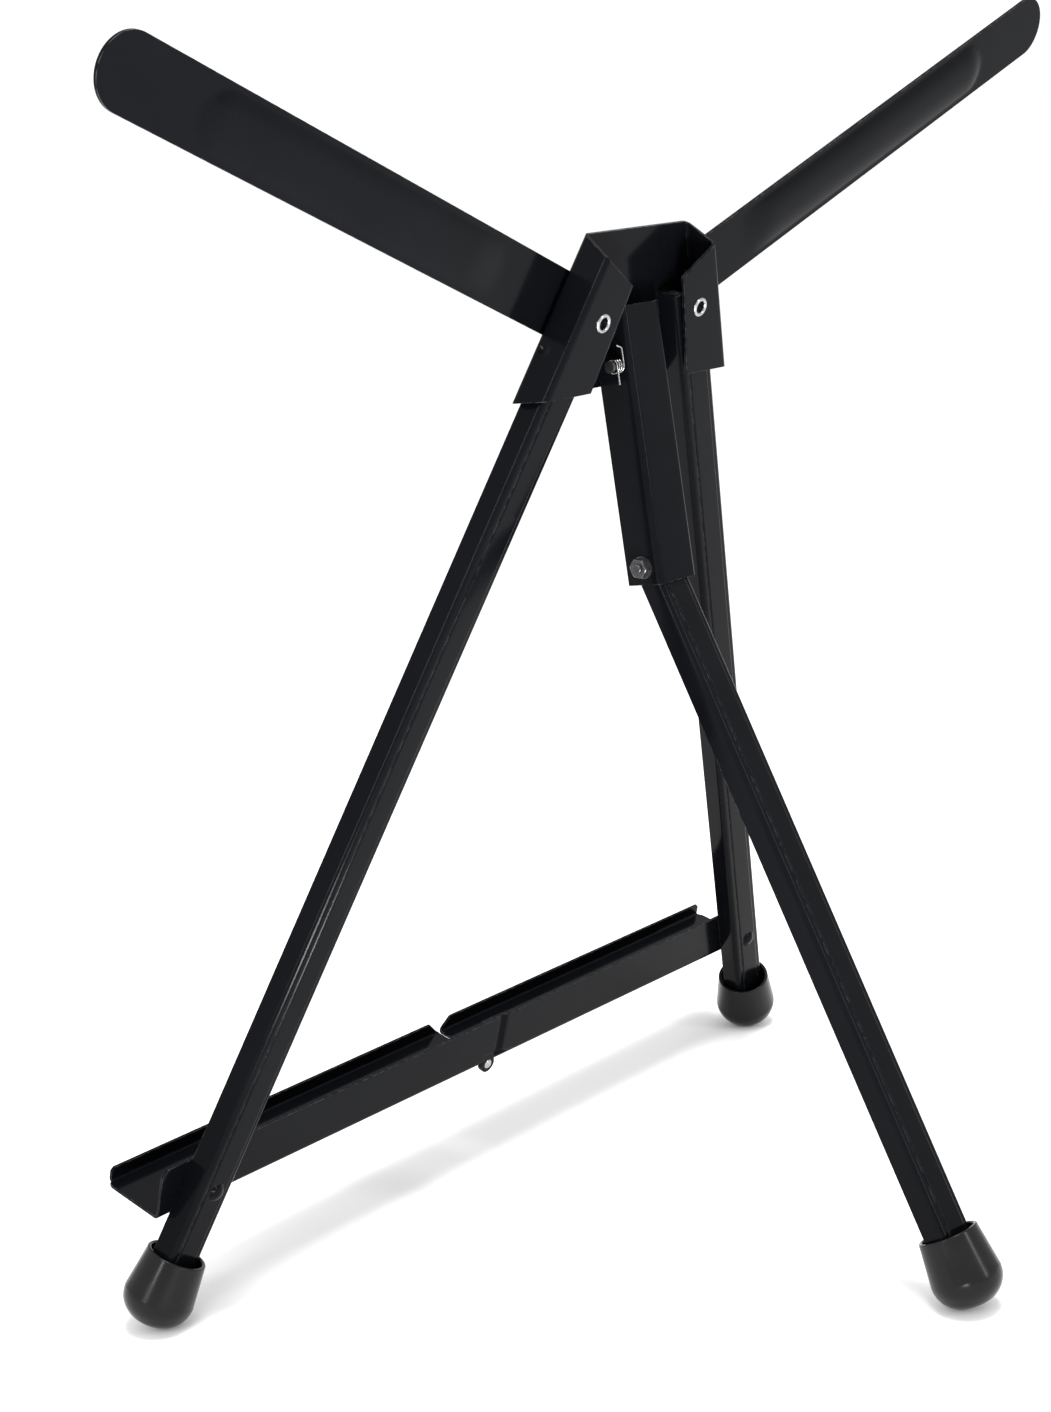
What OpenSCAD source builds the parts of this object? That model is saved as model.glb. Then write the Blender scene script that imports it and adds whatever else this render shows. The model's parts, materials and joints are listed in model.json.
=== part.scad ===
// Tabletop tripod display easel: folded sheet head, two splayed front legs, a bent rear leg,
// two swivel arms and a two-piece ledge that folds with the legs.
// Left is the +X side, which is on the left when the easel is seen from behind (+Y).

/* [Stance] */
// Lean of the head and the front legs from upright, in degrees
lean = 15.9; // [13:0.1:18]
// Angle of each front leg from the middle line, in degrees
splay = 23.2; // [19:0.1:26]
// Distance from a leg pivot to the middle of its foot
foot_reach = 347.6; // [290:0.1:420]
// Distance from the middle line to each leg pivot
pivot_x = 25; // [24:0.5:30]

/* [Sheet and channels] */
// Thickness of the sheet steel
sheet = 1; // [0.8:0.1:1.2]
// Outer radius of a bend in the sheet
bend = 2; // [1.6:0.1:2.4]
// Width of a leg channel
leg_w = 15; // [12:0.5:16]
// Depth of a leg channel
leg_d = 8.3; // [7:0.1:10]
// Width of the flat crown pressed along a leg's web
crown_w = 7.8; // [5:0.1:8.5]
// Height of that crown
crown_h = 0.4; // [0.2:0.1:0.4]
// Length of leg above its pivot
leg_top = 6.5; // [5:0.1:7]

/* [Head] */
// Top edge of the head plate above the leg pivots
head_rise = 25.5; // [22:0.5:32]
// Bottom edge of the head plate below the leg pivots
head_drop = 27.5; // [24:0.5:32]
// Distance from a leg's middle line to the outside of the head's flange
flange_out = 11.2; // [10.4:0.1:13]
// Gap between the legs and the head plate in front of them
plate_gap = 0.3; // [0.2:0.1:0.6]
// Gap between the legs and the return lips behind them
lip_gap = 2.3; // [1:0.1:3]
// How far the flange's ends slope in towards the lips
end_slope = 4.3; // [2:0.1:6]
// Width of a return lip at its top
lip_top_w = 14.5; // [10:0.5:15]
// Lean of the lip's inner edge, in degrees
lip_lean = 19.3; // [16:0.1:23]
// Slope of the lip's top edge, in degrees
lip_top_slope = 34.9; // [20:0.1:40]
// Radius of the stop dimple pressed into each flange
dimple_r = 2; // [1.5:0.1:2.5]

/* [Arms] */
// Width of a swivel arm
arm_w = 21.7; // [18:0.1:25]
// Distance from the pivot to the tip of the arm
arm_reach = 219.5; // [180:0.5:250]
// Angle of the arm above level, in degrees
arm_angle = 23.4; // [0:0.1:45]
// Width of the rib pressed backward into the arm
rib_w = 18.2; // [12:0.1:18.4]
// Height of that rib
rib_h = 1.2; // [1:0.1:1.2]
// Distance from the rib's outer end to the tip
rib_tip_gap = 39; // [25:0.5:50]
// Distance from the pivot to the rib's inner end
rib_root_gap = 37.5; // [37.5:0.5:50]

/* [Ledge] */
// Distance from a leg pivot to its ledge rivet
rivet_reach = 307.4; // [250:0.1:316]
// Height of the ledge's back wall
wall_h = 19; // [16:0.5:24]
// Height of the ledge rivet above the ledge's underside
rivet_rise = 9.2; // [8:0.1:11]
// Distance from the ledge's middle to the end of each half
half_len = 161; // [158.5:0.1:163]
// Distance of the ledge's middle from the easel's middle line, to the left
middle_x = 1.5; // [0:0.1:2]
// Front-to-back depth of the tray, outside
tray_d = 26.5; // [22:0.5:34]
// Height of the front lip
lip_h = 5.8; // [5:0.1:10]
// Radius of the ear that holds the middle rivet
ear_r = 3.4; // [3:0.1:4.2]
// Half of the gap between the two trays at the middle
slit = 0.65; // [0.5:0.05:1]
// Bevel of the lips beside the middle gap
lip_bevel = 5; // [3:0.5:6]

/* [Rear leg] */
// Lean of the upper channel from upright, in degrees
strut_lean = 7.1; // [5:0.1:9]
// Lean of the lower leg from upright, in degrees
knee_lean = 27.1; // [25.1:0.1:27.1]
// Width of the upper channel
strut_w = 19; // [18.6:0.1:20]
// Depth of the upper channel
strut_d = 14; // [12:0.5:14]
// Distance from the hinge pin to the top of the upper channel
strut_top = 18.7; // [14:0.1:20]
// Distance from the hinge pin down to the knee bolt
knee_drop = 66; // [55:0.5:80]
// Length of the upper channel below the knee bolt
strut_tail = 6; // [4:0.5:6]
// Hinge pin below the leg pivots, along the head plate
pin_drop = 16.4; // [15:0.1:18]
// Hinge pin in from the back of the upper channel
pin_inset = 4.5; // [4.2:0.1:5]
// Knee bolt in from the back of the upper channel
bolt_inset = 6.8; // [6.6:0.1:7]
// Knee bolt in from the back of the lower leg
knee_inset = 2.8; // [2.7:0.05:2.9]

/* [Feet] */
// Greatest radius of a foot
foot_r = 12; // [11:0.1:12.2]
// Radius of the foot's open rim
foot_rim_r = 10.2; // [9.8:0.1:10.8]
// Length of the foot from its widest point to the rim
foot_sleeve = 15; // [12:0.5:18]
// Radius of the round end of the foot
dome_r = 9.5; // [9:0.1:10.5]

/* [Fasteners] */
// Outer radius of an eyelet's barrel
eyelet_r = 2.2; // [2:0.05:2.4]
// Radius of the hole through an eyelet
eyelet_bore = 1.65; // [1.4:0.05:1.7]
// Radius of an eyelet's rolled rim
eyelet_rim = 3.25; // [3:0.05:3.6]
// Radius of a ledge rivet's shank
rivet_r = 2; // [1.6:0.1:2.4]
// Radius of a ledge rivet's head
rivet_head_r = 3.35; // [3:0.05:3.8]
// Radius of the middle rivet's shank
center_rivet_r = 1.2; // [1:0.1:1.6]
// Radius of the hinge pin
pin_r = 1.4; // [1.2:0.1:1.5]
// Radius of the knee bolt
bolt_r = 1.5; // [1.3:0.1:1.6]
// Height of a ledge rivet's round head
rivet_dome = 1.5; // [1:0.1:2]
// Width across flats of the knee nut
nut_af = 6; // [5.5:0.1:7]
// Thickness of a friction washer under an arm
washer_h = 1; // [1:0.1:1.4]
// Radius of the spring wire
wire_r = 0.5; // [0.4:0.05:0.6]

/* [Fits] */
// Radial clearance of a turning pivot
pivot_fit = 0.06; // [0.03:0.01:0.1]
// Gap between flat faces that slide past each other
slide_gap = 0.05; // [0.05:0.05:0.2]
// Gap at a stop and at the ledge pivot that stays open
open_gap = 0.3; // [0.2:0.1:0.6]

/* [Hidden] */
$fn = 64;

// Panel frame: X across, Y up the leaning head, Z forward, origin between the leg pivots
plate_f = leg_d + plate_gap;
lip_f = -lip_gap - sheet;
washer_f = plate_f + sheet;
arm_f = washer_f + washer_h + slide_gap;
wall_f = leg_d + slide_gap;
lap_f = wall_f + sheet + slide_gap;

// Feet: flat tip inside the round end, and how high a tilted foot holds its middle
foot_flat = foot_r - dome_r;
leg_tilt = acos(cos(splay) * cos(lean));
front_foot_h = foot_flat * sin(leg_tilt) + dome_r;
rear_foot_h = foot_flat * sin(knee_lean) + dome_r;
pivot_z = front_foot_h + foot_reach * cos(splay) * cos(lean) - leg_d / 2 * sin(lean);

// Ledge: the rivets lie on the legs, and each half reaches from its rivet to the middle
rivet_x = pivot_x + rivet_reach * sin(splay);
rivet_y = -rivet_reach * cos(splay);
ledge_y = rivet_y - rivet_rise;
ear_y = ledge_y - ear_r / 6;
lap_end = 2.3;
lap_reach = 6;
lap_start = 5.4;
ear_room = lap_start + sheet + 0.1;

// Rear leg: places of the pin and of the bolt, seen from the side as [y, z]
strut_fold = lean + strut_lean;
knee_bend = knee_lean - strut_lean;
pin_f = plate_f - (strut_d - pin_inset + 1) * cos(strut_fold) - 0.07;
pin_yz = [
    -pin_drop * sin(lean) - pin_f * cos(lean),
    pivot_z - pin_drop * cos(lean) + pin_f * sin(lean)
];
bolt_forward = bolt_inset - pin_inset;
bolt_yz = [
    pin_yz[0] + knee_drop * sin(strut_lean) - bolt_forward * cos(strut_lean),
    pin_yz[1] - knee_drop * cos(strut_lean) - bolt_forward * sin(strut_lean)
];
leg_mid = leg_d / 2 - knee_inset;
rear_reach = (bolt_yz[1] - leg_mid * sin(knee_lean) - rear_foot_h) / cos(knee_lean);
ear_x = strut_w / 2 - sheet - 0.2;
side_x = strut_w / 2;
bolt_washer_h = 0.6;
nut_h = 2.4;

// Spring: its coil sits on the hinge pin, outside the upper channel's flange
spring_r = pin_r + wire_r + open_gap;
spring_turns = 3.25;
spring_pitch = 2 * wire_r + 0.06;
spring_x0 = side_x + wire_r + open_gap;
spring_x1 = spring_x0 + spring_turns * spring_pitch;
spring_steps = 16;
wire_sides = 8;

// The origin is under the middle of the whole easel
front_foot_y = -foot_reach * cos(splay) * sin(lean) - leg_d / 2 * cos(lean)
    - foot_flat * sqrt(1 - pow(cos(splay) * sin(lean), 2)) - dome_r;
lip_y = (ledge_y + bend) * sin(lean) - (wall_f + tray_d - bend) * cos(lean) - bend;
rear_foot_y = bolt_yz[0] + rear_reach * sin(knee_lean) - leg_mid * cos(knee_lean)
    + foot_flat * cos(knee_lean) + dome_r;
shift_y = -(min(lip_y, front_foot_y) + rear_foot_y) / 2;

black = [0.07, 0.07, 0.075];
rubber = [0.04, 0.04, 0.04];
bright = [0.75, 0.75, 0.76];

// Frames that the pieces are drawn in
module panel() {
    translate([0, shift_y, pivot_z]) rotate([90 - lean, 0, 0]) children();
}
module leg_frame() {
    panel() translate([pivot_x, 0, 0]) rotate([0, 0, splay]) children();
}
module strut_frame() {
    translate([0, shift_y + pin_yz[0], pin_yz[1]]) rotate([90 + strut_lean, 0, 0]) children();
}
module knee_frame() {
    translate([0, shift_y + bolt_yz[0], bolt_yz[1]]) rotate([90 + knee_lean, 0, 0]) children();
}
module ledge_frame() {
    panel() translate([middle_x, 0, 0]) children();
}
module other_side() {
    mirror([1, 0, 0]) children();
}

// Block from Y = 0 to depth, centred on X, with its two lower corners rounded
module bent_block(width, depth, r) {
    translate([-width / 2, r]) square([width, depth - r]);
    translate([-width / 2 + r, 0]) square([width - 2 * r, depth]);
    for (side = [-1, 1]) {
        translate([side * (width / 2 - r), r]) circle(r);
    }
}
module u_section(width, depth) {
    difference() {
        bent_block(width, depth, bend);
        translate([0, sheet]) bent_block(width - 2 * sheet, depth, bend - sheet);
    }
}
module crown() {
    half = crown_w / 2;
    polygon([
        [-half - crown_h, sheet / 4], [-half - crown_h, 0], [-half, -crown_h],
        [half, -crown_h], [half + crown_h, 0], [half + crown_h, sheet / 4]
    ]);
}
module leg_section() {
    difference() {
        union() {
            bent_block(leg_w, leg_d, bend);
            crown();
        }
        translate([0, sheet]) {
            bent_block(leg_w - 2 * sheet, leg_d, bend - sheet);
            crown();
        }
    }
}
// A section run along Y from top to bottom, its open side facing forward
module run_down(top, bottom) {
    rotate([90, 0, 0]) translate([0, 0, -top]) linear_extrude(top - bottom) children();
}
// A side view drawn as [Y, Z], run along X
module run_across(width) {
    rotate([90, 0, 90]) linear_extrude(width, center = true) children();
}
// Rod along X
module rod(r, from, to) {
    translate([from, 0, 0]) rotate([0, 90, 0]) cylinder(r = r, h = to - from);
}
module ring(outer, inner, h) {
    difference() {
        cylinder(r = outer, h = h);
        translate([0, 0, -1]) cylinder(r = inner, h = h + 2);
    }
}
// Round-topped head, its flat side on Z = 0
module dome_head(r, h) {
    ball = (r * r + h * h) / (2 * h);
    intersection() {
        translate([0, 0, h - ball]) sphere(ball);
        cylinder(r = r, h = h);
    }
}

// One side of the head: plate edge, flange and return lip as one bent section
module head_side() {
    span = plate_f + sheet - lip_f;
    translate([pivot_x, 0, 0]) rotate([0, 0, splay])
        run_down(80, -80) difference() {
            translate([flange_out, lip_f + span / 2]) rotate(90) bent_block(span, 30, bend);
            translate([flange_out - sheet, lip_f + span / 2]) rotate(90)
                bent_block(span - 2 * sheet, 40, bend - sheet);
        }
}
module head_outline() {
    back = lip_f - 0.5;
    polygon([
        [-head_drop, plate_f + 2], [head_rise, plate_f + 2], [head_rise, plate_f],
        [head_rise - end_slope, back], [-head_drop + end_slope, back], [-head_drop, plate_f]
    ]);
}
// Region of the return lip, seen from behind
module lip_outline() {
    top_x = pivot_x - (head_rise - end_slope) * tan(splay) + flange_out / cos(splay);
    top_y = head_rise - end_slope;
    in_x = top_x - lip_top_w;
    in_y = top_y - lip_top_w * tan(lip_top_slope);
    low_y = -head_drop + end_slope;
    in_low_x = in_x + (in_y - low_y) * tan(lip_lean);
    polygon([
        [in_x, in_y], [in_low_x, low_y], [in_low_x, low_y - 9],
        [top_x + 60, low_y - 9], [top_x + 60, top_y + 60 * tan(lip_top_slope)]
    ]);
}
module head_bracket() {
    color(black) panel() difference() {
        union() {
            intersection() {
                union() {
                    head_side();
                    other_side() head_side();
                }
                run_across(160) head_outline();
            }
            translate([0, (head_rise - head_drop) / 2, plate_f + sheet / 2])
                cube([2 * pivot_x, head_rise + head_drop, sheet], center = true);
            for (side = [0, 1]) mirror([side, 0, 0]) stop_dimple();
        }
        for (side = [0, 1]) mirror([side, 0, 0]) {
            translate([0, 0, lip_f - 1]) linear_extrude(lip_gap + sheet / 2) difference() {
                translate([0, -60]) square([120, 120]);
                lip_outline();
            }
            translate([pivot_x, 0, 0]) cylinder(r = eyelet_r, h = 40, center = true);
        }
    }
}
// Boss pushed in from the flange, just clear of the open leg
module stop_dimple() {
    translate([pivot_x, 0, 0]) rotate([0, 0, splay])
        translate([0, -leg_w, leg_d * 0.7])
            rod(dimple_r, leg_w / 2 + open_gap, flange_out - sheet / 2);
}
module hinge_bracket() {
    nose = pin_inset - sheet - open_gap;
    color(black) panel() difference() {
        union() {
            for (side = [-1, 1]) translate([side * (ear_x - sheet / 2), 0, 0]) run_across(sheet) {
                translate([-pin_drop, pin_f]) circle(nose);
                translate([-pin_drop - nose, pin_f]) square([2 * nose, plate_f - pin_f]);
            }
            translate([0, -pin_drop, plate_f - sheet / 2])
                cube([2 * ear_x, 2 * nose, sheet], center = true);
        }
        translate([0, -pin_drop, pin_f]) rod(pin_r, -20, 20);
    }
}
module hinge_pin() {
    color(black) strut_frame() {
        rod(pin_r, -side_x - 1, spring_x1 + 1);
        rod(pin_r + 1, -side_x - 1, -side_x - slide_gap);
        rod(pin_r + 0.5, spring_x1 + wire_r + 0.1, spring_x1 + 1.4);
    }
}

// Torsion spring: a tail down the plate, close turns round the pin, and a tail up the channel
function coil_point(a) = [spring_x0 + a / 360 * spring_pitch, spring_r * cos(a), spring_r * sin(a)];
spring_path = concat(
    [[spring_x0, spring_r, -7], [spring_x0, spring_r, -4]],
    [for (i = [0 : spring_turns * spring_steps]) coil_point(i * 360 / spring_steps)],
    [[spring_x1, 2, spring_r + 0.3], [spring_x1, 6, spring_r], [spring_x1, 8.5, spring_r - 1]]
);
function unit(v) = v / norm(v);
function along(path, i) = unit(path[min(i + 1, len(path) - 1)] - path[max(i - 1, 0)]);
function wire_ring(path, i, sides) =
    let (t = along(path, i), a = unit(cross(t, [1, 0.02, 0.01])), b = cross(t, a))
    [for (k = [0 : sides - 1]) path[i] + wire_r * (cos(k * 360 / sides) * a + sin(k * 360 / sides) * b)];
module wire(path, sides) {
    last = len(path) - 1;
    rings = [for (i = [0 : last]) each wire_ring(path, i, sides)];
    walls = [for (i = [0 : last - 1], k = [0 : sides - 1])
        [i * sides + k, i * sides + (k + 1) % sides,
         (i + 1) * sides + (k + 1) % sides, (i + 1) * sides + k]];
    start = [for (k = [sides - 1 : -1 : 0]) k];
    finish = [for (k = [0 : sides - 1]) last * sides + k];
    polyhedron(points = rings, faces = concat([start, finish], walls));
}
module return_spring() {
    color(bright) strut_frame() wire(spring_path, wire_sides);
}

module eyelet() {
    back = lip_f - 0.1;
    front = arm_f + sheet + slide_gap;
    roll = (eyelet_rim - eyelet_bore) / 2;
    color(bright) panel() translate([pivot_x, 0, 0]) {
        translate([0, 0, back - 0.35]) ring(eyelet_r, eyelet_bore, front - back + 0.7);
        difference() {
            union() {
                translate([0, 0, lip_f]) mirror([0, 0, 1]) rolled_rim(roll);
                translate([0, 0, front]) rolled_rim(roll);
            }
            translate([0, 0, -20]) cylinder(r = eyelet_bore, h = 60);
        }
    }
}
module rolled_rim(roll) {
    intersection() {
        rotate_extrude() translate([eyelet_bore + roll, 0]) circle(roll);
        cylinder(r = eyelet_rim + 1, h = roll);
    }
}
module left_eyelet() {
    eyelet();
}
module right_eyelet() {
    other_side() eyelet();
}
module wing_washers() {
    color(bright) panel() for (side = [-1, 1]) translate([side * pivot_x, 0, washer_f])
        ring(arm_w * 0.36, eyelet_r, washer_h);
}

// Strip with round ends, from one centre to another along X
module slot(from, to, w) {
    translate([from, -w / 2]) square([to - from, w]);
    translate([from, 0]) circle(w / 2);
    translate([to, 0]) circle(w / 2);
}
module wing() {
    tip = arm_reach - arm_w / 2;
    rib_from = rib_root_gap + rib_w / 2;
    rib_to = arm_reach - rib_tip_gap - rib_w / 2;
    color(black) panel() translate([pivot_x, 0, arm_f]) rotate([0, 0, arm_angle]) difference() {
        union() {
            linear_extrude(sheet) slot(0, tip, arm_w);
            translate([0, 0, -rib_h]) linear_extrude(sheet + rib_h) slot(rib_from, rib_to, rib_w);
        }
        translate([0, 0, sheet - rib_h]) linear_extrude(rib_h + 1)
            slot(rib_from, rib_to, rib_w - 2 * sheet);
        cylinder(r = eyelet_r + pivot_fit, h = 20, center = true);
    }
}
module left_wing() {
    wing();
}
module right_wing() {
    other_side() wing();
}

module front_leg() {
    color(black) leg_frame() difference() {
        run_down(leg_top, -foot_reach) leg_section();
        cylinder(r = eyelet_r + pivot_fit, h = 3 * sheet, center = true);
        translate([0, -rivet_reach, 0]) cylinder(r = rivet_r, h = 3 * sheet, center = true);
    }
}
module left_leg() {
    front_leg();
}
module right_leg() {
    other_side() front_leg();
}

// Rubber cap: open rim at the top, round end at the bottom, its widest point at the origin
module foot() {
    cavity_r = norm([leg_w / 2, leg_d / 2 + crown_h]) + 0.05;
    color(rubber) rotate([90, 0, 0]) rotate_extrude() difference() {
        union() {
            polygon([[0, 0], [0, -foot_sleeve], [foot_rim_r, -foot_sleeve], [foot_r, 0]]);
            intersection() {
                translate([foot_flat, 0]) circle(dome_r);
                square(2 * foot_r);
            }
            square([foot_flat, dome_r]);
        }
        translate([-1, -foot_sleeve - 1]) square([cavity_r + 1, foot_sleeve + 1]);
    }
}
module left_foot() {
    leg_frame() translate([0, -foot_reach, leg_d / 2]) foot();
}
module right_foot() {
    other_side() left_foot();
}
module rear_foot() {
    knee_frame() translate([0, -rear_reach, leg_mid]) foot();
}

// Ledge rivet in the leg's frame: a round head behind, a shank through to the ledge
module rivet_head_and_shank(end) {
    translate([0, 0, -crown_h]) mirror([0, 0, 1]) dome_head(rivet_head_r, rivet_dome);
    translate([0, 0, -crown_h]) cylinder(r = rivet_r, h = end + crown_h);
}
module rivet_tail() {
    translate([0, 0, wall_f + sheet + slide_gap]) dome_head(rivet_r + 1, rivet_dome * 0.6);
}
module left_ledge_rivet() {
    color(black) leg_frame() translate([0, -rivet_reach, 0]) {
        rivet_head_and_shank(wall_f + sheet + slide_gap + 0.2);
        rivet_tail();
    }
}
module right_ledge_rivet() {
    color(black) other_side() leg_frame() translate([0, -rivet_reach, 0])
        rivet_head_and_shank(wall_f - open_gap);
}
module right_ledge_rivet_tail() {
    color(black) other_side() leg_frame() translate([0, -rivet_reach, 0]) {
        translate([0, 0, wall_f]) cylinder(r = rivet_r, h = sheet + 0.25);
        rivet_tail();
    }
}

// Tray of one half, from u0 to the outer end: back wall, floor and low front lip
module tray(u0) {
    translate([half_len, ledge_y, wall_f + tray_d / 2]) rotate([0, -90, 0])
        linear_extrude(half_len - u0) difference() {
            u_section(tray_d, wall_h);
            translate([sheet, lip_h]) square([tray_d, wall_h]);
        }
}
// Cuts shared by both halves
module tray_cuts() {
    // floor and lip stop short of the middle, with room round the ears
    translate([-50 + slit, ledge_y - 5, wall_f + sheet]) cube([50, wall_h + 10, tray_d]);
    translate([-50 + ear_room, ledge_y - 5, wall_f + sheet]) cube([50, wall_h + 10, 2.7]);
    // the lip's bevel beside the middle, and its corner at the outer end
    translate([slit, ledge_y + lip_h, wall_f + tray_d]) rotate([0, 0, 45])
        cube([lip_bevel * sqrt(2), lip_bevel * sqrt(2), 3 * bend], center = true);
    translate([half_len, ledge_y + lip_h, wall_f + tray_d]) rotate([0, 0, 45])
        cube([4, 4, 3 * bend], center = true);
    // the wall's corner at the outer end
    translate([half_len, ledge_y + wall_h, wall_f]) rotate([0, 0, 45])
        cube([2.4, 2.4, 3 * sheet], center = true);
}
module ledge_left() {
    color(black) ledge_frame() difference() {
        union() {
            difference() {
                tray(-lap_end);
                tray_cuts();
            }
            translate([0, ear_y, wall_f]) cylinder(r = ear_r, h = sheet);
        }
        translate([rivet_x - middle_x, rivet_y, 0]) cylinder(r = rivet_r + pivot_fit, h = 20);
        translate([0, ear_y, 0]) cylinder(r = center_rivet_r, h = 20);
    }
}
module ledge_right() {
    tongue_y = bend + 0.4;
    color(black) ledge_frame() other_side() difference() {
        union() {
            difference() {
                tray(slit);
                tray_cuts();
                translate([-1, ledge_y - 5, wall_f - 1])
                    cube([lap_start + 1, wall_h + 10, sheet + 1.01]);
            }
            // the end of the wall steps forward and laps over the other half
            translate([lap_start, ledge_y + tongue_y, wall_f])
                cube([sheet, wall_h - tongue_y, lap_f - wall_f + sheet]);
            translate([-lap_reach, ledge_y + tongue_y, lap_f])
                cube([lap_start + lap_reach + sheet, wall_h - tongue_y, sheet]);
            translate([0, ear_y, lap_f]) cylinder(r = ear_r, h = sheet);
        }
        translate([rivet_x + middle_x, rivet_y, 0]) cylinder(r = rivet_r, h = 20);
        translate([0, ear_y, 0]) cylinder(r = center_rivet_r + pivot_fit, h = 20);
    }
}
module ledge_center_rivet() {
    color(bright) ledge_frame() translate([0, ear_y, 0]) {
        translate([0, 0, wall_f]) mirror([0, 0, 1]) dome_head(center_rivet_r + 0.6, rivet_dome / 2);
        translate([0, 0, wall_f]) cylinder(r = center_rivet_r, h = 2 * sheet + 2 * slide_gap + 0.2);
        translate([0, 0, lap_f + sheet + slide_gap]) dome_head(center_rivet_r + 0.6, rivet_dome / 2);
    }
}

module rear_channel() {
    color(black) strut_frame() difference() {
        translate([0, 0, -pin_inset]) run_down(strut_top, -knee_drop - strut_tail)
            u_section(strut_w, strut_d);
        // the flanges' tops are cut back where the open channel rests against the plate
        rotate([-strut_fold, 0, 0]) translate([-50, -100, plate_f - pin_f - open_gap])
            cube([100, 200, 50]);
        rod(pin_r + pivot_fit, -20, 20);
        translate([0, -knee_drop, bolt_forward]) rod(bolt_r, -20, 20);
    }
}
module rear_leg() {
    color(black) knee_frame() difference() {
        translate([0, 0, -knee_inset]) run_down(leg_top, -rear_reach) leg_section();
        rod(bolt_r + pivot_fit, -20, 20);
    }
}
module knee_bolt() {
    outside = side_x + bolt_washer_h;
    color(black) knee_frame() {
        rod(bolt_r, -outside, outside + nut_h + 0.8);
        translate([-outside, 0, 0]) rotate([0, -90, 0]) dome_head(nut_af / 2, 2);
    }
}
module knee_washers() {
    color(black) knee_frame() for (side = [-1, 1]) translate([side * side_x, 0, 0])
        rotate([0, side * 90, 0]) ring(nut_af * 0.62, bolt_r, bolt_washer_h);
}
module knee_nut() {
    color([0.2, 0.2, 0.2]) knee_frame() translate([side_x + bolt_washer_h, 0, 0])
        rotate([0, 90, 0]) difference() {
            cylinder(d = nut_af / cos(30), h = nut_h, $fn = 6);
            translate([0, 0, -1]) cylinder(r = bolt_r, h = nut_h + 2);
        }
}

head_bracket();
hinge_bracket();
hinge_pin();
return_spring();
left_eyelet();
right_eyelet();
wing_washers();
left_wing();
right_wing();
left_leg();
right_leg();
left_foot();
right_foot();
rear_foot();
left_ledge_rivet();
right_ledge_rivet();
right_ledge_rivet_tail();
ledge_left();
ledge_right();
ledge_center_rivet();
rear_channel();
rear_leg();
knee_bolt();
knee_washers();
knee_nut();
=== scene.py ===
import json
import math
import bmesh
import bpy
from mathutils import Matrix, Vector


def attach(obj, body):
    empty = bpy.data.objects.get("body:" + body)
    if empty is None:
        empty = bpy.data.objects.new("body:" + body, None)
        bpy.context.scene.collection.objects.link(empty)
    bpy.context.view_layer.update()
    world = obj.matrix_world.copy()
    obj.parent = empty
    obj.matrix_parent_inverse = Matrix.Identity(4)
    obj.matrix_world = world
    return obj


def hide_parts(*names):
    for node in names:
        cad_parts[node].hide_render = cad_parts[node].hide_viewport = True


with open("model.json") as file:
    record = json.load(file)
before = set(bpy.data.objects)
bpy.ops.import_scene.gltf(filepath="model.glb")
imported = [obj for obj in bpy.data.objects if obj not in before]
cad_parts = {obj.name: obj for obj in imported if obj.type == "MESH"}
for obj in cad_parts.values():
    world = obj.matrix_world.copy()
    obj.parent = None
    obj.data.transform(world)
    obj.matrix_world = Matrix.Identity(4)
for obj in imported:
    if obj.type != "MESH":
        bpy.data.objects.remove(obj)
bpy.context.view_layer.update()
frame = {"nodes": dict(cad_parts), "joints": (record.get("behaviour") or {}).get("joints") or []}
mm = 0.001
jointOf = {joint["name"]: joint for joint in frame["joints"]}


# Local frames, in millimetres: X across, Y up the part, Z towards the front
def axesFrame(origin, up, ahead):
    turn = Matrix((Vector((1, 0, 0)), up, ahead)).transposed().to_4x4()
    return Matrix.Translation(origin) @ turn @ Matrix.Scale(mm, 4)


def leaningFrame(jointName, lean):
    angle = math.radians(lean)
    up = Vector((0, -math.sin(angle), math.cos(angle)))
    ahead = Vector((0, -math.cos(angle), -math.sin(angle)))
    return axesFrame(Vector(jointOf[jointName]["pos_m"]), up, ahead)


def turned(angle):
    return Matrix.Rotation(math.radians(angle), 4, "Z")


stance = {"splay": 23.2, "strutLean": 7.1, "kneeLean": 27.1}
leftPivot = Vector(jointOf["leg_fold"]["pos_m"])
rightPivot = Vector(jointOf["right_leg_fold"]["pos_m"])
forward = -Vector(jointOf["leg_fold"]["axis"]).normalized()
panel = axesFrame((leftPivot + rightPivot) / 2, forward.cross(Vector((1, 0, 0))), forward)
strut = leaningFrame("rear_hinge", stance["strutLean"])
knee = leaningFrame("knee", stance["kneeLean"])
pivotX = (leftPivot.x - rightPivot.x) / 2 / mm


def sidePanel(side):
    return panel @ Matrix.Scale(side, 4, (1, 0, 0))


def sideLeg(side):
    return sidePanel(side) @ Matrix.Translation((pivotX, 0, 0)) @ turned(stance["splay"])


def inPanel(point):
    return panel.inverted() @ Vector(point)


ledgeRivet = inPanel(jointOf["left_ledge_pivot"]["pos_m"])
middlePivot = inPanel(jointOf["ledge_center_pivot"]["pos_m"])
rivetReach = math.hypot(ledgeRivet.x - pivotX, ledgeRivet.y)
print("frames ready")


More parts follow.
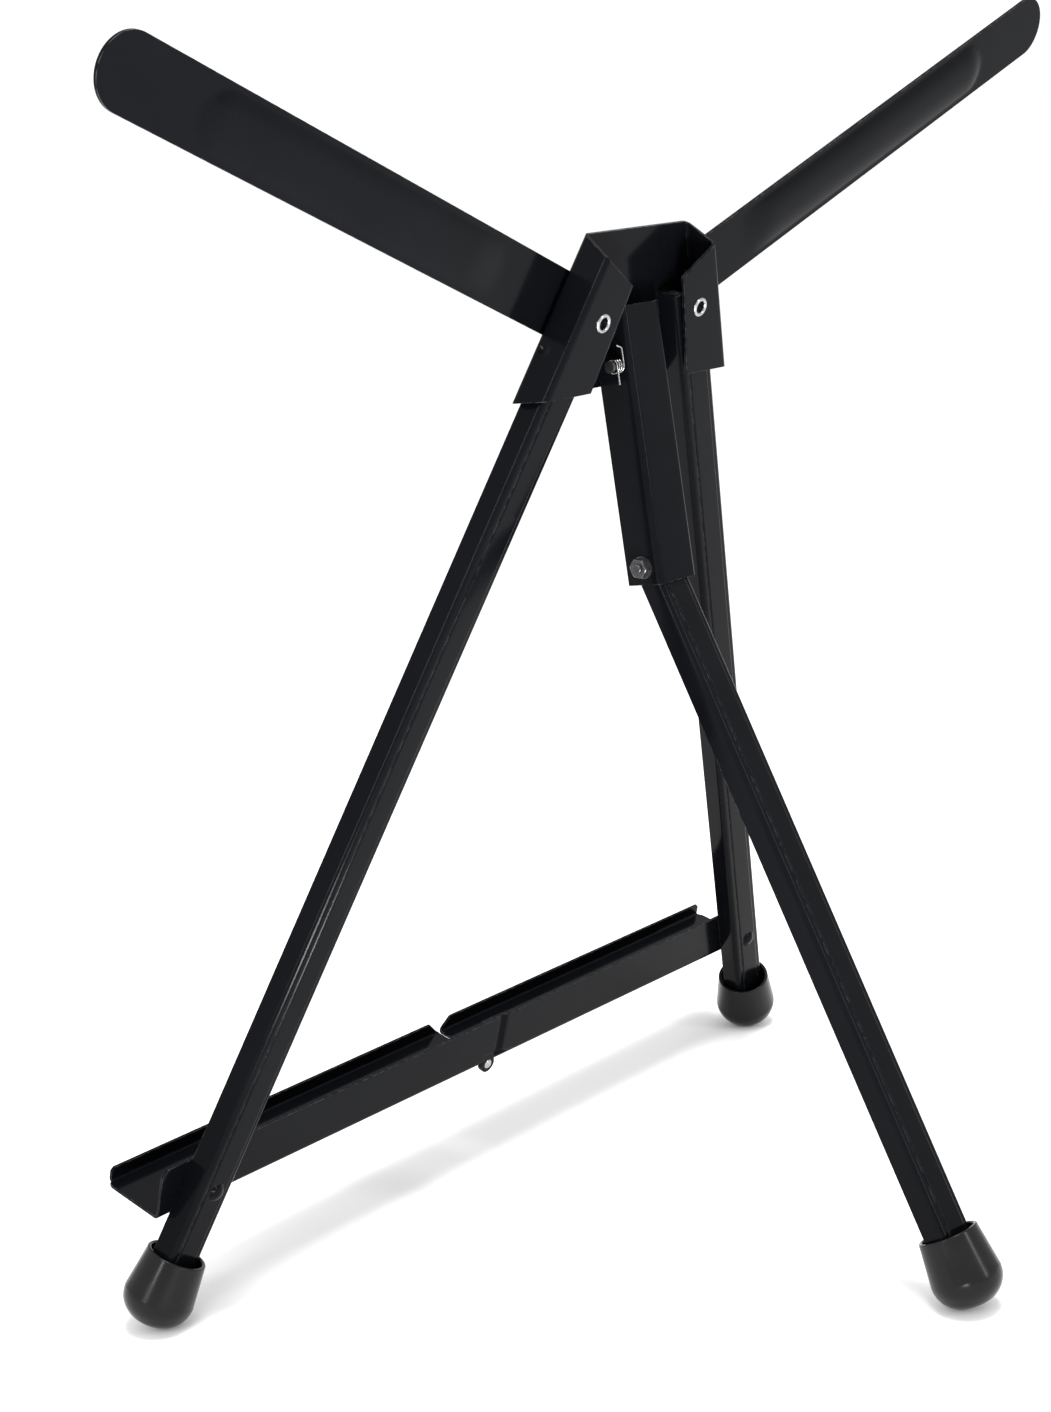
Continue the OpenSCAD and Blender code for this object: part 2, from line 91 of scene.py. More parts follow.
# Mesh helpers
def roundedPath(corners, radius, steps=7):
    points = [Vector(corners[0])]
    for before, corner, after in zip(corners, corners[1:], corners[2:]):
        corner = Vector(corner)
        inDir = (corner - Vector(before)).normalized()
        outDir = (Vector(after) - corner).normalized()
        turn = math.atan2(inDir.x * outDir.y - inDir.y * outDir.x, inDir.dot(outDir))
        start = corner - inDir * radius * math.tan(abs(turn) / 2)
        normal = Vector((-inDir.y, inDir.x)) * math.copysign(1, turn)
        centre = start + normal * radius
        for step in range(steps + 1):
            points.append(centre + Matrix.Rotation(turn * step / steps, 2) @ (start - centre))
    points.append(Vector(corners[-1]))
    return points


def subdivided(points, longest):
    out = [points[0]]
    for a, b in zip(points, points[1:]):
        count = max(1, math.ceil((b - a).length / longest))
        out += [a.lerp(b, (i + 1) / count) for i in range(count)]
    return out


def stripSides(path, thickness):
    sides = []
    last = len(path) - 1
    for i, point in enumerate(path):
        a = (path[min(i + 1, last)] - path[min(i, last - 1)]).normalized()
        b = (path[max(i, 1)] - path[max(i - 1, 0)]).normalized()
        along = (a + b).normalized()
        reach = thickness / 2 / max(0.5, along.dot(a))
        normal = Vector((-along.y, along.x)) * reach
        sides.append((point + normal, point - normal))
    return sides


# Fills a strip of sheet: one row of outside and inside points for each station
def sheetMesh(bm, rows):
    grid = [[(bm.verts.new(a), bm.verts.new(b)) for a, b in row] for row in rows]
    for low, high in zip(grid, grid[1:]):
        for (a, b), (c, d), (e, f), (g, h) in zip(low, low[1:], high, high[1:]):
            bm.faces.new((a, c, g, e))
            bm.faces.new((f, h, d, b))
        for end in (0, -1):
            bm.faces.new((low[end][0], high[end][0], high[end][1], low[end][1]))
    for row in (grid[0], grid[-1]):
        for (a, b), (c, d) in zip(row, row[1:]):
            bm.faces.new((a, b, d, c))


def latheMesh(bm, profile, axis="Z", segments=48, shift=(0, 0, 0)):
    rings = []
    for radius, height in profile:
        count = 1 if radius < 1e-6 else segments
        ring = []
        for i in range(count):
            angle = 2 * math.pi * i / segments
            x, y = radius * math.cos(angle), radius * math.sin(angle)
            spot = {"Z": (x, y, height), "Y": (x, height, y), "X": (height, x, y)}[axis]
            ring.append(bm.verts.new(Vector(spot) + Vector(shift)))
        rings.append(ring)
    for low, high in zip(rings, rings[1:]):
        for i in range(segments):
            j = (i + 1) % segments
            corners = [low[i % len(low)], low[j % len(low)], high[j % len(high)], high[i % len(high)]]
            corners = list(dict.fromkeys(corners))
            if len(corners) > 2:
                bm.faces.new(corners)


def smoothStep(value):
    value = min(max(value, 0), 1)
    return value * value * (3 - 2 * value)


def arc(centreX, centreY, radius, start, end, steps=8):
    angles = [math.radians(start + (end - start) * i / steps) for i in range(steps + 1)]
    return [(centreX + radius * math.cos(a), centreY + radius * math.sin(a)) for a in angles]


def outlineMesh(bm, outline, low, high):
    rings = [[bm.verts.new((x, y, z)) for x, y in outline] for z in (low, high)]
    bm.faces.new(rings[0])
    bm.faces.new(rings[1])
    for i in range(len(outline)):
        j = (i + 1) % len(outline)
        bm.faces.new((rings[0][i], rings[0][j], rings[1][j], rings[1][i]))


def meshObject(name, bm, place):
    bm.transform(place)
    bmesh.ops.recalc_face_normals(bm, faces=bm.faces)
    mesh = bpy.data.meshes.new(name)
    bm.to_mesh(mesh)
    bm.free()
    made = bpy.data.objects.new(name, mesh)
    bpy.context.scene.collection.objects.link(made)
    return made


def booleanWith(made, cutter, operation):
    change = made.modifiers.new("cut", "BOOLEAN")
    change.operation = operation
    change.solver = "EXACT"
    change.object = cutter
    settle(made)
    bpy.data.objects.remove(cutter)


def settle(made):
    evaluated = made.evaluated_get(bpy.context.evaluated_depsgraph_get())
    mesh = bpy.data.meshes.new_from_object(evaluated)
    made.modifiers.clear()
    made.data = mesh


# Cuts round holes through a piece, along the place's Z and across at each of the X values
def drill(made, place, across, span, radius):
    low, high = span
    bm = bmesh.new()
    for x in across:
        latheMesh(bm, [(0, low), (radius, low), (radius, high), (0, high)], shift=(x, 0, 0))
    booleanWith(made, meshObject("cutter", bm, place), "DIFFERENCE")


# Rounds the sheared edges, then smooths everything that is not a real corner
def finish(made, edge, corner=40):
    if edge:
        soften = made.modifiers.new("edges", "BEVEL")
        soften.width = edge * mm
        soften.segments = 2
        soften.limit_method = "ANGLE"
        soften.angle_limit = math.radians(corner)
        soften.use_clamp_overlap = True
        settle(made)
    for face in made.data.polygons:
        face.use_smooth = True
    bm = bmesh.new()
    bm.from_mesh(made.data)
    for seam in bm.edges:
        if len(seam.link_faces) == 2:
            seam.smooth = seam.calc_face_angle(0) < math.radians(corner)
    bm.to_mesh(made.data)
    bm.free()
    weigh = made.modifiers.new("normals", "WEIGHTED_NORMAL")
    weigh.keep_sharp = True
    weigh.weight = 90
    settle(made)
    return made


def coat(made, slot):
    made.data.materials.clear()
    made.data.materials.append(finishes[slot])


# Gives a piece the body that it moves with and its finish, and hides the CAD node that it stands for
def install(made, body, node, slot):
    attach(made, body)
    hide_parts(node)
    coat(made, slot)


# Node groups shared by the materials; every input and output is a plain number
def newGroup(name, inputs, outputs):
    group = bpy.data.node_groups.new(name, "ShaderNodeTree")
    for label, value in inputs.items():
        made = group.interface.new_socket(label, in_out="INPUT", socket_type="NodeSocketFloat")
        made.default_value = value
    for label in outputs:
        group.interface.new_socket(label, in_out="OUTPUT", socket_type="NodeSocketFloat")
    return group, group.nodes.new("NodeGroupInput"), group.nodes.new("NodeGroupOutput")


def mathNode(tree, operation, a, b=None, clamp=False):
    made = tree.nodes.new("ShaderNodeMath")
    made.operation = operation
    made.use_clamp = clamp
    for i, value in enumerate((a, b)):
        if value is None:
            continue
        if isinstance(value, (int, float)):
            made.inputs[i].default_value = value
        else:
            tree.links.new(value, made.inputs[i])
    return made.outputs[0]


def noiseNode(tree, scale, detail, coordinates, rough=0.5):
    made = tree.nodes.new("ShaderNodeTexNoise")
    made.inputs["Detail"].default_value = detail
    made.inputs["Roughness"].default_value = rough
    if isinstance(scale, (int, float)):
        made.inputs["Scale"].default_value = scale
    else:
        tree.links.new(scale, made.inputs["Scale"])
    tree.links.new(coordinates, made.inputs["Vector"])
    return made.outputs["Fac"]


wearContrast = {"edge": 6.0, "gap": 0.42, "breakup": 5.0}


def edgeWearGroup():
    inputs = {"Width": 0.0004, "Amount": 0.5, "Breakup": 300.0}
    group, start, end = newGroup("edgeWear", inputs, ["Mask"])
    rounded = group.nodes.new("ShaderNodeBevel")
    rounded.samples = 4
    group.links.new(start.outputs["Width"], rounded.inputs["Radius"])
    plain = group.nodes.new("ShaderNodeNewGeometry")
    compare = group.nodes.new("ShaderNodeVectorMath")
    compare.operation = "DOT_PRODUCT"
    group.links.new(rounded.outputs["Normal"], compare.inputs[0])
    group.links.new(plain.outputs["Normal"], compare.inputs[1])
    edge = mathNode(group, "SUBTRACT", 1.0, compare.outputs["Value"], clamp=True)
    edge = mathNode(group, "MULTIPLY", edge, wearContrast["edge"], clamp=True)
    where = group.nodes.new("ShaderNodeTexCoord")
    broken = noiseNode(group, start.outputs["Breakup"], 4.0, where.outputs["Object"])
    broken = mathNode(group, "SUBTRACT", broken, wearContrast["gap"])
    broken = mathNode(group, "MULTIPLY", broken, wearContrast["breakup"], clamp=True)
    worn = mathNode(group, "MULTIPLY", edge, broken)
    worn = mathNode(group, "MULTIPLY", worn, start.outputs["Amount"], clamp=True)
    group.links.new(worn, end.inputs["Mask"])
    return group


def surfaceGrainGroup():
    inputs = {"Fine": 2500.0, "Broad": 500.0, "Mix": 0.4}
    group, start, end = newGroup("surfaceGrain", inputs, ["Height"])
    where = group.nodes.new("ShaderNodeTexCoord")
    fine = noiseNode(group, start.outputs["Fine"], 2.0, where.outputs["Object"])
    broad = noiseNode(group, start.outputs["Broad"], 1.0, where.outputs["Object"])
    lower = mathNode(group, "MULTIPLY", fine, mathNode(group, "SUBTRACT", 1.0, start.outputs["Mix"]))
    upper = mathNode(group, "MULTIPLY", broad, start.outputs["Mix"])
    group.links.new(mathNode(group, "ADD", lower, upper), end.inputs["Height"])
    return group


def handlingGroup():
    inputs = {"Scale": 30.0, "Low": 0.3, "High": 0.4}
    group, start, end = newGroup("handling", inputs, ["Roughness", "Patches"])
    where = group.nodes.new("ShaderNodeTexCoord")
    patches = noiseNode(group, start.outputs["Scale"], 5.0, where.outputs["Object"], 0.6)
    spread = group.nodes.new("ShaderNodeMapRange")
    spread.inputs["From Min"].default_value = 0.35
    spread.inputs["From Max"].default_value = 0.65
    group.links.new(patches, spread.inputs["Value"])
    group.links.new(start.outputs["Low"], spread.inputs["To Min"])
    group.links.new(start.outputs["High"], spread.inputs["To Max"])
    group.links.new(spread.outputs["Result"], end.inputs["Roughness"])
    group.links.new(patches, end.inputs["Patches"])
    return group


shared = {"edgeWear": edgeWearGroup(), "surfaceGrain": surfaceGrainGroup(), "handling": handlingGroup()}


def placeGroup(tree, name, **values):
    made = tree.nodes.new("ShaderNodeGroup")
    made.node_tree = shared[name]
    for label, value in values.items():
        made.inputs[label].default_value = value
    return made


def mixColour(tree, factor, a, b):
    made = tree.nodes.new("ShaderNodeMix")
    made.data_type = "RGBA"
    tree.links.new(factor, made.inputs["Factor"])
    # A Mix node holds one pair of sockets for each kind of value; these are its colours
    for value, place in ((a, 6), (b, 7)):
        if isinstance(value, tuple):
            made.inputs[place].default_value = (*value, 1)
        else:
            tree.links.new(value, made.inputs[place])
    return made.outputs[2]


def coatedMaterial(name, look):
    material = bpy.data.materials.new(name)
    material.use_nodes = True
    tree = material.node_tree
    shader = tree.nodes["Principled BSDF"]
    shader.inputs["Metallic"].default_value = look["metallic"]
    shader.inputs["Specular IOR Level"].default_value = look["specular"]
    grain = placeGroup(tree, "surfaceGrain", Fine=look["fine"], Broad=look["broad"], Mix=look["mix"])
    hands = placeGroup(tree, "handling", Scale=look["patches"], Low=look["smooth"], High=look["rough"])
    wear = placeGroup(tree, "edgeWear", Width=look["edge"] * mm, Amount=look["wear"],
                      Breakup=look["breakup"])
    coatColour = mixColour(tree, hands.outputs["Patches"], look["dark"], look["light"])
    colour = mixColour(tree, wear.outputs["Mask"], coatColour, look["worn"])
    tree.links.new(colour, shader.inputs["Base Color"])
    tree.links.new(hands.outputs["Roughness"], shader.inputs["Roughness"])
    bump = tree.nodes.new("ShaderNodeBump")
    bump.inputs["Strength"].default_value = look["bump"]
    bump.inputs["Distance"].default_value = look["depth"] * mm
    tree.links.new(grain.outputs["Height"], bump.inputs["Height"])
    tree.links.new(bump.outputs["Normal"], shader.inputs["Normal"])
    return material


blackSteelLook = {
    "dark": (0.0015, 0.0017, 0.0023), "light": (0.0032, 0.0035, 0.0045), "worn": (0.1, 0.1, 0.105),
    "metallic": 0.0, "specular": 0.05,
    "fine": 2600.0, "broad": 700.0, "mix": 0.5, "bump": 0.05, "depth": 0.02,
    "patches": 28.0, "smooth": 0.1, "rough": 0.17, "edge": 0.35, "wear": 0.75, "breakup": 420.0,
}
rubberLook = {
    "dark": (0.005, 0.005, 0.005), "light": (0.01, 0.01, 0.01), "worn": (0.03, 0.03, 0.03),
    "metallic": 0.0, "specular": 0.13,
    "fine": 5200.0, "broad": 1400.0, "mix": 0.35, "bump": 0.07, "depth": 0.03,
    "patches": 60.0, "smooth": 0.16, "rough": 0.26, "edge": 0.5, "wear": 0.4, "breakup": 500.0,
}
brightPlateLook = {
    "dark": (0.3, 0.3, 0.31), "light": (0.46, 0.46, 0.47), "worn": (0.7, 0.69, 0.67),
    "metallic": 1.0, "specular": 0.5,
    "fine": 6000.0, "broad": 1800.0, "mix": 0.5, "bump": 0.2, "depth": 0.02,
    "patches": 220.0, "smooth": 0.16, "rough": 0.32, "edge": 0.2, "wear": 0.5, "breakup": 900.0,
}
springSteelLook = dict(brightPlateLook, dark=(0.22, 0.22, 0.22), light=(0.4, 0.4, 0.39), rough=0.3)
darkHardwareLook = {
    "dark": (0.05, 0.05, 0.053), "light": (0.11, 0.11, 0.115), "worn": (0.4, 0.4, 0.4),
    "metallic": 0.9, "specular": 0.5,
    "fine": 5000.0, "broad": 1500.0, "mix": 0.5, "bump": 0.25, "depth": 0.02,
    "patches": 180.0, "smooth": 0.2, "rough": 0.36, "edge": 0.2, "wear": 0.6, "breakup": 800.0,
}
finishes = {
    "black_steel": coatedMaterial("blackSteel", blackSteelLook),
    "rubber": coatedMaterial("rubber", rubberLook),
    "bright_plate": coatedMaterial("brightPlate", brightPlateLook),
    "spring_steel": coatedMaterial("springSteel", springSteelLook),
    "dark_hardware": coatedMaterial("darkHardware", darkHardwareLook),
}
print("materials ready")

# Legs: roll-formed channels, web behind, with a flat crown pressed along the web
leg = {
    "width": 15.0, "depth": 8.3, "sheet": 1.0, "bend": 1.5,
    "crownWidth": 7.8, "crownHeight": 0.4, "crownBend": 0.5,
    "top": 6.5, "reach": 347.6, "barrel": 2.26, "edge": 0.14, "stations": 24, "across": 3.0,
    "frontBack": 0.0, "rearBack": -2.8, "rearReach": 251.27,
}


def legPath():
    x, back = leg["width"] / 2 - leg["sheet"] / 2, leg["sheet"] / 2
    flat, rise = leg["crownWidth"] / 2, leg["crownHeight"]
    left = roundedPath([(-x, leg["depth"]), (-x, back), (-flat - rise, back)], leg["bend"])
    crown = [(-flat - rise, back), (-flat, back - rise), (flat, back - rise)]
    top = roundedPath(crown, leg["crownBend"], 3)
    half = left[:-1] + top[:-1]
    return half + [Vector((-p.x, p.y)) for p in reversed(half)]


def buildLeg(name, place, back, reach, pivotHole):
    pairs = stripSides(subdivided(legPath(), leg["across"]), leg["sheet"])
    count = leg["stations"]
    stations = [leg["top"] - (leg["top"] + reach) * i / count for i in range(count + 1)]
    bm = bmesh.new()
    sheetMesh(bm, [[(Vector((a.x, y, a.y + back)), Vector((b.x, y, b.y + back))) for a, b in pairs]
                   for y in stations])
    made = meshObject(name, bm, place)
    if pivotHole:
        drill(made, place, [0], (-3, 3), leg["barrel"])
    install(finish(made, leg["edge"]), name, name, "black_steel")


buildLeg("left_leg", sideLeg(1), leg["frontBack"], leg["reach"], True)
buildLeg("right_leg", sideLeg(-1), leg["frontBack"], leg["reach"], True)
buildLeg("rear_leg", knee, leg["rearBack"], leg["rearReach"], False)
print("legs done")

# Feet: rubber caps, open round the leg at the top
foot = {
    "widest": 12.0, "dome": 9.5, "rim": 10.2, "sleeve": 15.0, "hollow": 8.9, "lip": 0.55, "floor": 0.2,
    "crease": 5.8, "segments": 80,
}


def footProfile():
    flat = foot["widest"] - foot["dome"]
    rim, hollow, lip = foot["rim"], foot["hollow"], foot["lip"]
    rimTop = foot["sleeve"] - lip
    profile = [(0, -foot["dome"])] + arc(flat, 0, foot["dome"], -90, 0, 20)
    profile += arc(rim - lip, rimTop, lip, 0, 90, 18) + arc(hollow + lip, rimTop, lip, 90, 180, 18)
    profile += [(hollow, foot["floor"] + 1), (hollow - 1, foot["floor"]), (0, foot["floor"])]
    return profile


def buildFoot(name, body, legPlace, reach, back):
    bm = bmesh.new()
    latheMesh(bm, footProfile(), "Y", foot["segments"])
    made = meshObject(name, bm, legPlace @ Matrix.Translation((0, -reach, leg["depth"] / 2 + back)))
    install(finish(made, 0, foot["crease"]), body, name, "rubber")


buildFoot("left_foot", "left_leg", sideLeg(1), leg["reach"], leg["frontBack"])
buildFoot("right_foot", "right_leg", sideLeg(-1), leg["reach"], leg["frontBack"])
buildFoot("rear_foot", "rear_leg", knee, leg["rearReach"], leg["rearBack"])
print("feet done")

# Head: one sheet folded into a plate, two splayed flanges and two return lips
head = {
    "rise": 25.5, "drop": 27.5, "plate": 9.1, "lip": -2.8, "flange": 10.7, "bend": 1.5, "sheet": 1.0,
    "endSlope": 4.3, "lipTop": 14.5, "lipLean": 19.3, "lipTopSlope": 34.9, "barrel": 2.21, "edge": 0.16,
    "dimpleDrop": -9.5, "dimpleAhead": 5.8, "dimpleRadius": 1.704, "dimpleDepth": 0.8,
    "rows": 72, "across": 1.0,
}


def headRows():
    slope = math.tan(math.radians(stance["splay"]))
    sideX = pivotX + head["flange"] / math.cos(math.radians(stance["splay"]))
    lipSlope = math.tan(math.radians(head["lipLean"]))
    topW = head["rise"] - head["endSlope"]
    innerTopX = sideX - topW * slope - head["lipTop"]
    innerTopW = topW - head["lipTop"] * math.tan(math.radians(head["lipTopSlope"]))
    innerX = innerTopX + innerTopW * lipSlope
    corners = [(0, head["plate"]), (sideX, head["plate"]), (sideX, head["lip"]), (innerX, head["lip"])]
    half = subdivided(roundedPath(corners, head["bend"]), head["across"])
    path = [Vector((-p.x, p.y)) for p in reversed(half[1:])] + half
    pairs = stripSides(path, head["sheet"])
    span = head["plate"] - head["lip"]

    # Where the sheet starts and ends at a point of its path, and how far it is along the lip
    def ends(point):
        fold = min(max((head["plate"] - point.y) / span, 0), 1)
        top = head["rise"] - head["endSlope"] * fold
        bottom = -head["drop"] + head["endSlope"] * fold
        inward = 0
        if point.y < head["lip"] + 0.3:
            inward = min(1, max(0, (sideX - abs(point.x)) / (sideX - innerX)))
            top -= (top - innerTopW) * inward
        return top, bottom, inward

    rows = []
    for row in range(head["rows"] + 1):
        share = row / head["rows"]
        line = []
        for point, pair in zip(path, pairs):
            top, bottom, inward = ends(point)
            w = top + (bottom - top) * share
            lean = slope + (lipSlope - slope) * inward
            if point.y > head["plate"] - 0.01:
                lean = slope * abs(point.x) / sideX
            shift = -w * lean * math.copysign(1, point.x) if abs(point.x) > 0.01 else 0
            dent = 0
            if head["lip"] + 1 < point.y < head["plate"] - 1:
                away = math.hypot(w - head["dimpleDrop"], point.y - head["dimpleAhead"])
                dent = head["dimpleDepth"] * math.exp(-(away / head["dimpleRadius"]) ** 4)
            shift -= dent * math.copysign(1, point.x)
            line.append(tuple(Vector((p.x + shift, w, p.y)) for p in pair))
        rows.append(line)
    return rows


def buildHead():
    bm = bmesh.new()
    sheetMesh(bm, headRows())
    made = meshObject("head_bracket", bm, panel)
    drill(made, panel, [pivotX, -pivotX], (-8, 14), head["barrel"])
    install(finish(made, head["edge"]), "head", "head_bracket", "black_steel")


buildHead()
print("head done")

# Arms: flat strips with round ends and a wide rib pressed towards the back
wing = {
    "width": 21.7, "reach": 219.5, "angle": 23.4, "sheet": 1.0, "back": 10.65,
    "ribRadius": 9.1, "ribHeight": 1.2, "ribStart": 37.5, "ribTipGap": 39.0, "barrel": 2.26, "edge": 0.2,
    "ribFade": 20.0, "ribPower": 2.4, "across": 36, "endSteps": 18, "step": 1.6, "endTrim": 0.02,
}


def ribDepth(x, y):
    radius = wing["ribRadius"]
    start = wing["ribStart"] + radius
    end = wing["reach"] - wing["ribTipGap"] - radius
    away = math.hypot(x - min(max(x, start), end), y) / radius
    if away >= 1:
        return 0
    fade = smoothStep((x - wing["ribStart"]) / wing["ribFade"])
    return wing["ribHeight"] * (1 - away ** wing["ribPower"]) * fade


def wingRows():
    radius = wing["width"] / 2
    tip = wing["reach"] - radius
    first = [-radius * math.cos(math.pi / 2 * i / wing["endSteps"]) for i in range(wing["endSteps"])]
    first[0] += wing["endTrim"]
    count = round(tip / wing["step"])
    middle = [tip * i / count for i in range(count + 1)]
    stations = first + middle + [tip - x for x in reversed(first)]
    rows = []
    for x in stations:
        over = max(0, -x, x - tip)
        half = math.sqrt(radius ** 2 - over ** 2)
        line = []
        for i in range(wing["across"] + 1):
            y = half * (2 * i / wing["across"] - 1)
            z = wing["back"] - ribDepth(x, y)
            line.append((Vector((x, y, z)), Vector((x, y, z + wing["sheet"]))))
        rows.append(line)
    return rows


def buildWing(name, side):
    place = sidePanel(side) @ Matrix.Translation((pivotX, 0, 0)) @ turned(wing["angle"])
    bm = bmesh.new()
    sheetMesh(bm, wingRows())
    made = meshObject(name, bm, place)
    drill(made, place, [0], (0, 20), wing["barrel"])
    install(finish(made, wing["edge"]), name, name, "black_steel")


buildWing("left_wing", 1)
buildWing("right_wing", -1)
print("arms done")

# Ledge: two trays, each with a back wall, a floor that falls a little to the front, and a low lip
earRadius = 3.4
tray = {
    "underside": middlePivot.y + earRadius / 6, "wall": 19.0, "wallAhead": 8.85, "depth": 26.5, "lip": 5.8,
    "fall": 0.9, "sheet": 1.0, "bend": 1.5, "halfLength": 161.0, "slit": 0.65, "notch": 5.0,
    "lapEnd": 2.3, "lapReach": 6.0, "lapJog": 6.6, "lapJogLength": 1.6, "lapAhead": 1.05, "tongue": 2.6,
    "wallCorner": 2.4, "lipCorner": 1.1, "floorCorner": 3.4, "edge": 0.16, "across": 1.3,
    "earTop": 4.0, "earDrop": 0.57, "earCut": 1.2, "earInset": 0.02,
    "nearShare": 0.11, "nearSteps": 18, "farSteps": 26,
}
trayFront = tray["wallAhead"] - tray["sheet"] + tray["depth"]


def trayPath():
    back, low, drop = tray["wallAhead"], tray["underside"] + tray["sheet"] / 2, tray["fall"]
    corners = [(back, tray["underside"] + tray["wall"]), (back, low), (trayFront, low - drop),
               (trayFront, tray["underside"] - drop + tray["lip"])]
    return subdivided(roundedPath(corners, tray["bend"]), tray["across"])


def onWall(point):
    return point.x < tray["wallAhead"] + 0.2


def onLip(point):
    return point.x > trayFront - 0.7


def heightOf(point):
    return point.y - tray["underside"]


def lipGap(point):
    return tray["lip"] - tray["fall"] - heightOf(point)


# Where the sheet starts near the middle: the walls lap, and the lip is notched
def trayStart(point, far):
    if onLip(point):
        return tray["slit"] + max(0, tray["notch"] - lipGap(point))
    if onWall(point):
        if far:
            return -tray["lapReach"] if heightOf(point) > tray["tongue"] else tray["slit"]
        return -tray["lapEnd"]
    return tray["slit"]


# Where it ends outside, with its corners taken off
def trayEnd(point):
    corner = tray["floorCorner"]
    if onWall(point):
        trim = max(0, tray["wallCorner"] - (tray["wall"] - heightOf(point)))
    elif onLip(point):
        trim = corner / 2 + max(0, tray["lipCorner"] - lipGap(point))
    else:
        inside = max(0, corner - (trayFront - point.x))
        trim = min(corner - math.sqrt(max(0, corner ** 2 - inside ** 2)), corner / 2)
    return tray["halfLength"] - trim


def trayRows(far):
    path = trayPath()
    pairs = stripSides(path, tray["sheet"])
    near, steps = tray["nearShare"], tray["farSteps"]
    shares = [near * i / tray["nearSteps"] for i in range(tray["nearSteps"])]
    shares += [near + (1 - near) * i / steps for i in range(steps + 1)]
    rows = []
    for share in shares:
        line = []
        for point, pair in zip(path, pairs):
            start, end = trayStart(point, far), trayEnd(point)
            u = start + (end - start) * share
            step = 0
            if far and onWall(point) and heightOf(point) > tray["tongue"]:
                step = tray["lapAhead"] * smoothStep((tray["lapJog"] - u) / tray["lapJogLength"])
            line.append(tuple(Vector((u, p.y, p.x + step)) for p in pair))
        rows.append(line)
    return rows


# The ear under the middle, which holds the pivot of the two halves
def trayEar(bm, far):
    earTop = tray["underside"] + tray["earTop"]
    outline = arc(0, tray["underside"] - tray["earDrop"], earRadius, 180, 360, 24)
    outline += [(earRadius, earTop), (tray["earCut"] - earRadius, earTop)]
    back = tray["wallAhead"] - tray["sheet"] / 2 + (tray["lapAhead"] if far else 0)
    outlineMesh(bm, outline, back + tray["earInset"], back + tray["sheet"] - tray["earInset"])


def buildTray(name, side):
    far = side < 0
    bm = bmesh.new()
    sheetMesh(bm, trayRows(far))
    trayEar(bm, far)
    place = panel @ Matrix.Translation((middlePivot.x, 0, 0)) @ Matrix.Scale(side, 4, (1, 0, 0))
    install(finish(meshObject(name, bm, place), tray["edge"]), name, name, "black_steel")


buildTray("ledge_left", 1)
buildTray("ledge_right", -1)
print("ledge done")

# Rivets: low round heads, painted with the steel
rivet = {
    "radius": 3.35, "height": 1.5, "tail": 3.0, "tailHeight": 0.9, "shank": 2.0, "crown": 0.4,
    "rimInset": 0.15, "rimDepth": 0.12, "shortBy": 0.8, "tailStart": 0.5, "tailEnd": 0.55,
}


def domeProfile(radius, height, sign, base):
    ball = (radius ** 2 + height ** 2) / (2 * height)
    reach = math.asin(min(1, radius / ball))
    points = [(0, base + sign * height)]
    for i in range(1, 11):
        a = reach * i / 10
        points.append((ball * math.sin(a), base + sign * (height - ball + ball * math.cos(a))))
    return points


def rivetHead():
    rim = rivet["rimDepth"] - rivet["crown"]
    return domeProfile(rivet["radius"], rivet["height"], -1, -rivet["crown"]) + [
        (rivet["radius"] - rivet["rimInset"], rim), (rivet["shank"], rim)]


def rivetTail():
    end = tray["wallAhead"] + rivet["tailEnd"]
    dome = domeProfile(rivet["tail"], rivet["tailHeight"], 1, end)
    return [(rivet["shank"], end)] + dome[::-1]


def buildRivet(name, side, body, profile):
    bm = bmesh.new()
    latheMesh(bm, profile)
    place = sideLeg(side) @ Matrix.Translation((0, -rivetReach, 0))
    install(finish(meshObject(name, bm, place), 0, 50), body, name, "black_steel")


# The right rivet is in two: its head turns with the leg, its tail with the ledge
headEnd = tray["wallAhead"] - rivet["shortBy"]
tailBase = tray["wallAhead"] - rivet["tailStart"]
buildRivet("left_ledge_rivet", 1, "left_leg", rivetHead() + rivetTail())
buildRivet("right_ledge_rivet", -1, "right_leg", rivetHead() + [(rivet["shank"], headEnd), (0, headEnd)])
buildRivet("right_ledge_rivet_tail", -1, "ledge_right",
           [(0, tailBase), (rivet["shank"], tailBase)] + rivetTail())
print("rivets done")

# Eyelets: tubular rivets with rolled rims, the pivots of the legs and arms
eyelet = {"bore": 1.95, "barrel": 2.2, "rim": 3.25, "back": -3.3, "front": 11.7}


def buildEyelet(name, side):
    roll = (eyelet["rim"] - eyelet["bore"]) / 2
    ringX = eyelet["bore"] + roll
    back, front = eyelet["back"], eyelet["front"]
    profile = arc(ringX, back, roll, 180, 360, 14)
    profile += [(eyelet["barrel"], back + 0.1), (eyelet["barrel"], front - 0.1)]
    profile += arc(ringX, front, roll, 0, 180, 14)
    bm = bmesh.new()
    latheMesh(bm, profile + profile[:1])
    bmesh.ops.remove_doubles(bm, verts=bm.verts, dist=1e-4)
    place = sidePanel(side) @ Matrix.Translation((pivotX, 0, 0))
    install(finish(meshObject(name, bm, place), 0, 60), "head", name, "bright_plate")


buildEyelet("left_eyelet", 1)
buildEyelet("right_eyelet", -1)
print("eyelets done")

# Upper channel of the rear leg
channel = {
    "width": 19.0, "depth": 14.0, "sheet": 1.0, "bend": 1.6, "back": -4.5, "top": 18.7, "tail": -72.0,
    "stopReach": 9.435, "stopAngle": 23.0, "cornerCut": 2.0, "edge": 0.18, "across": 2.0, "stations": 30,
}


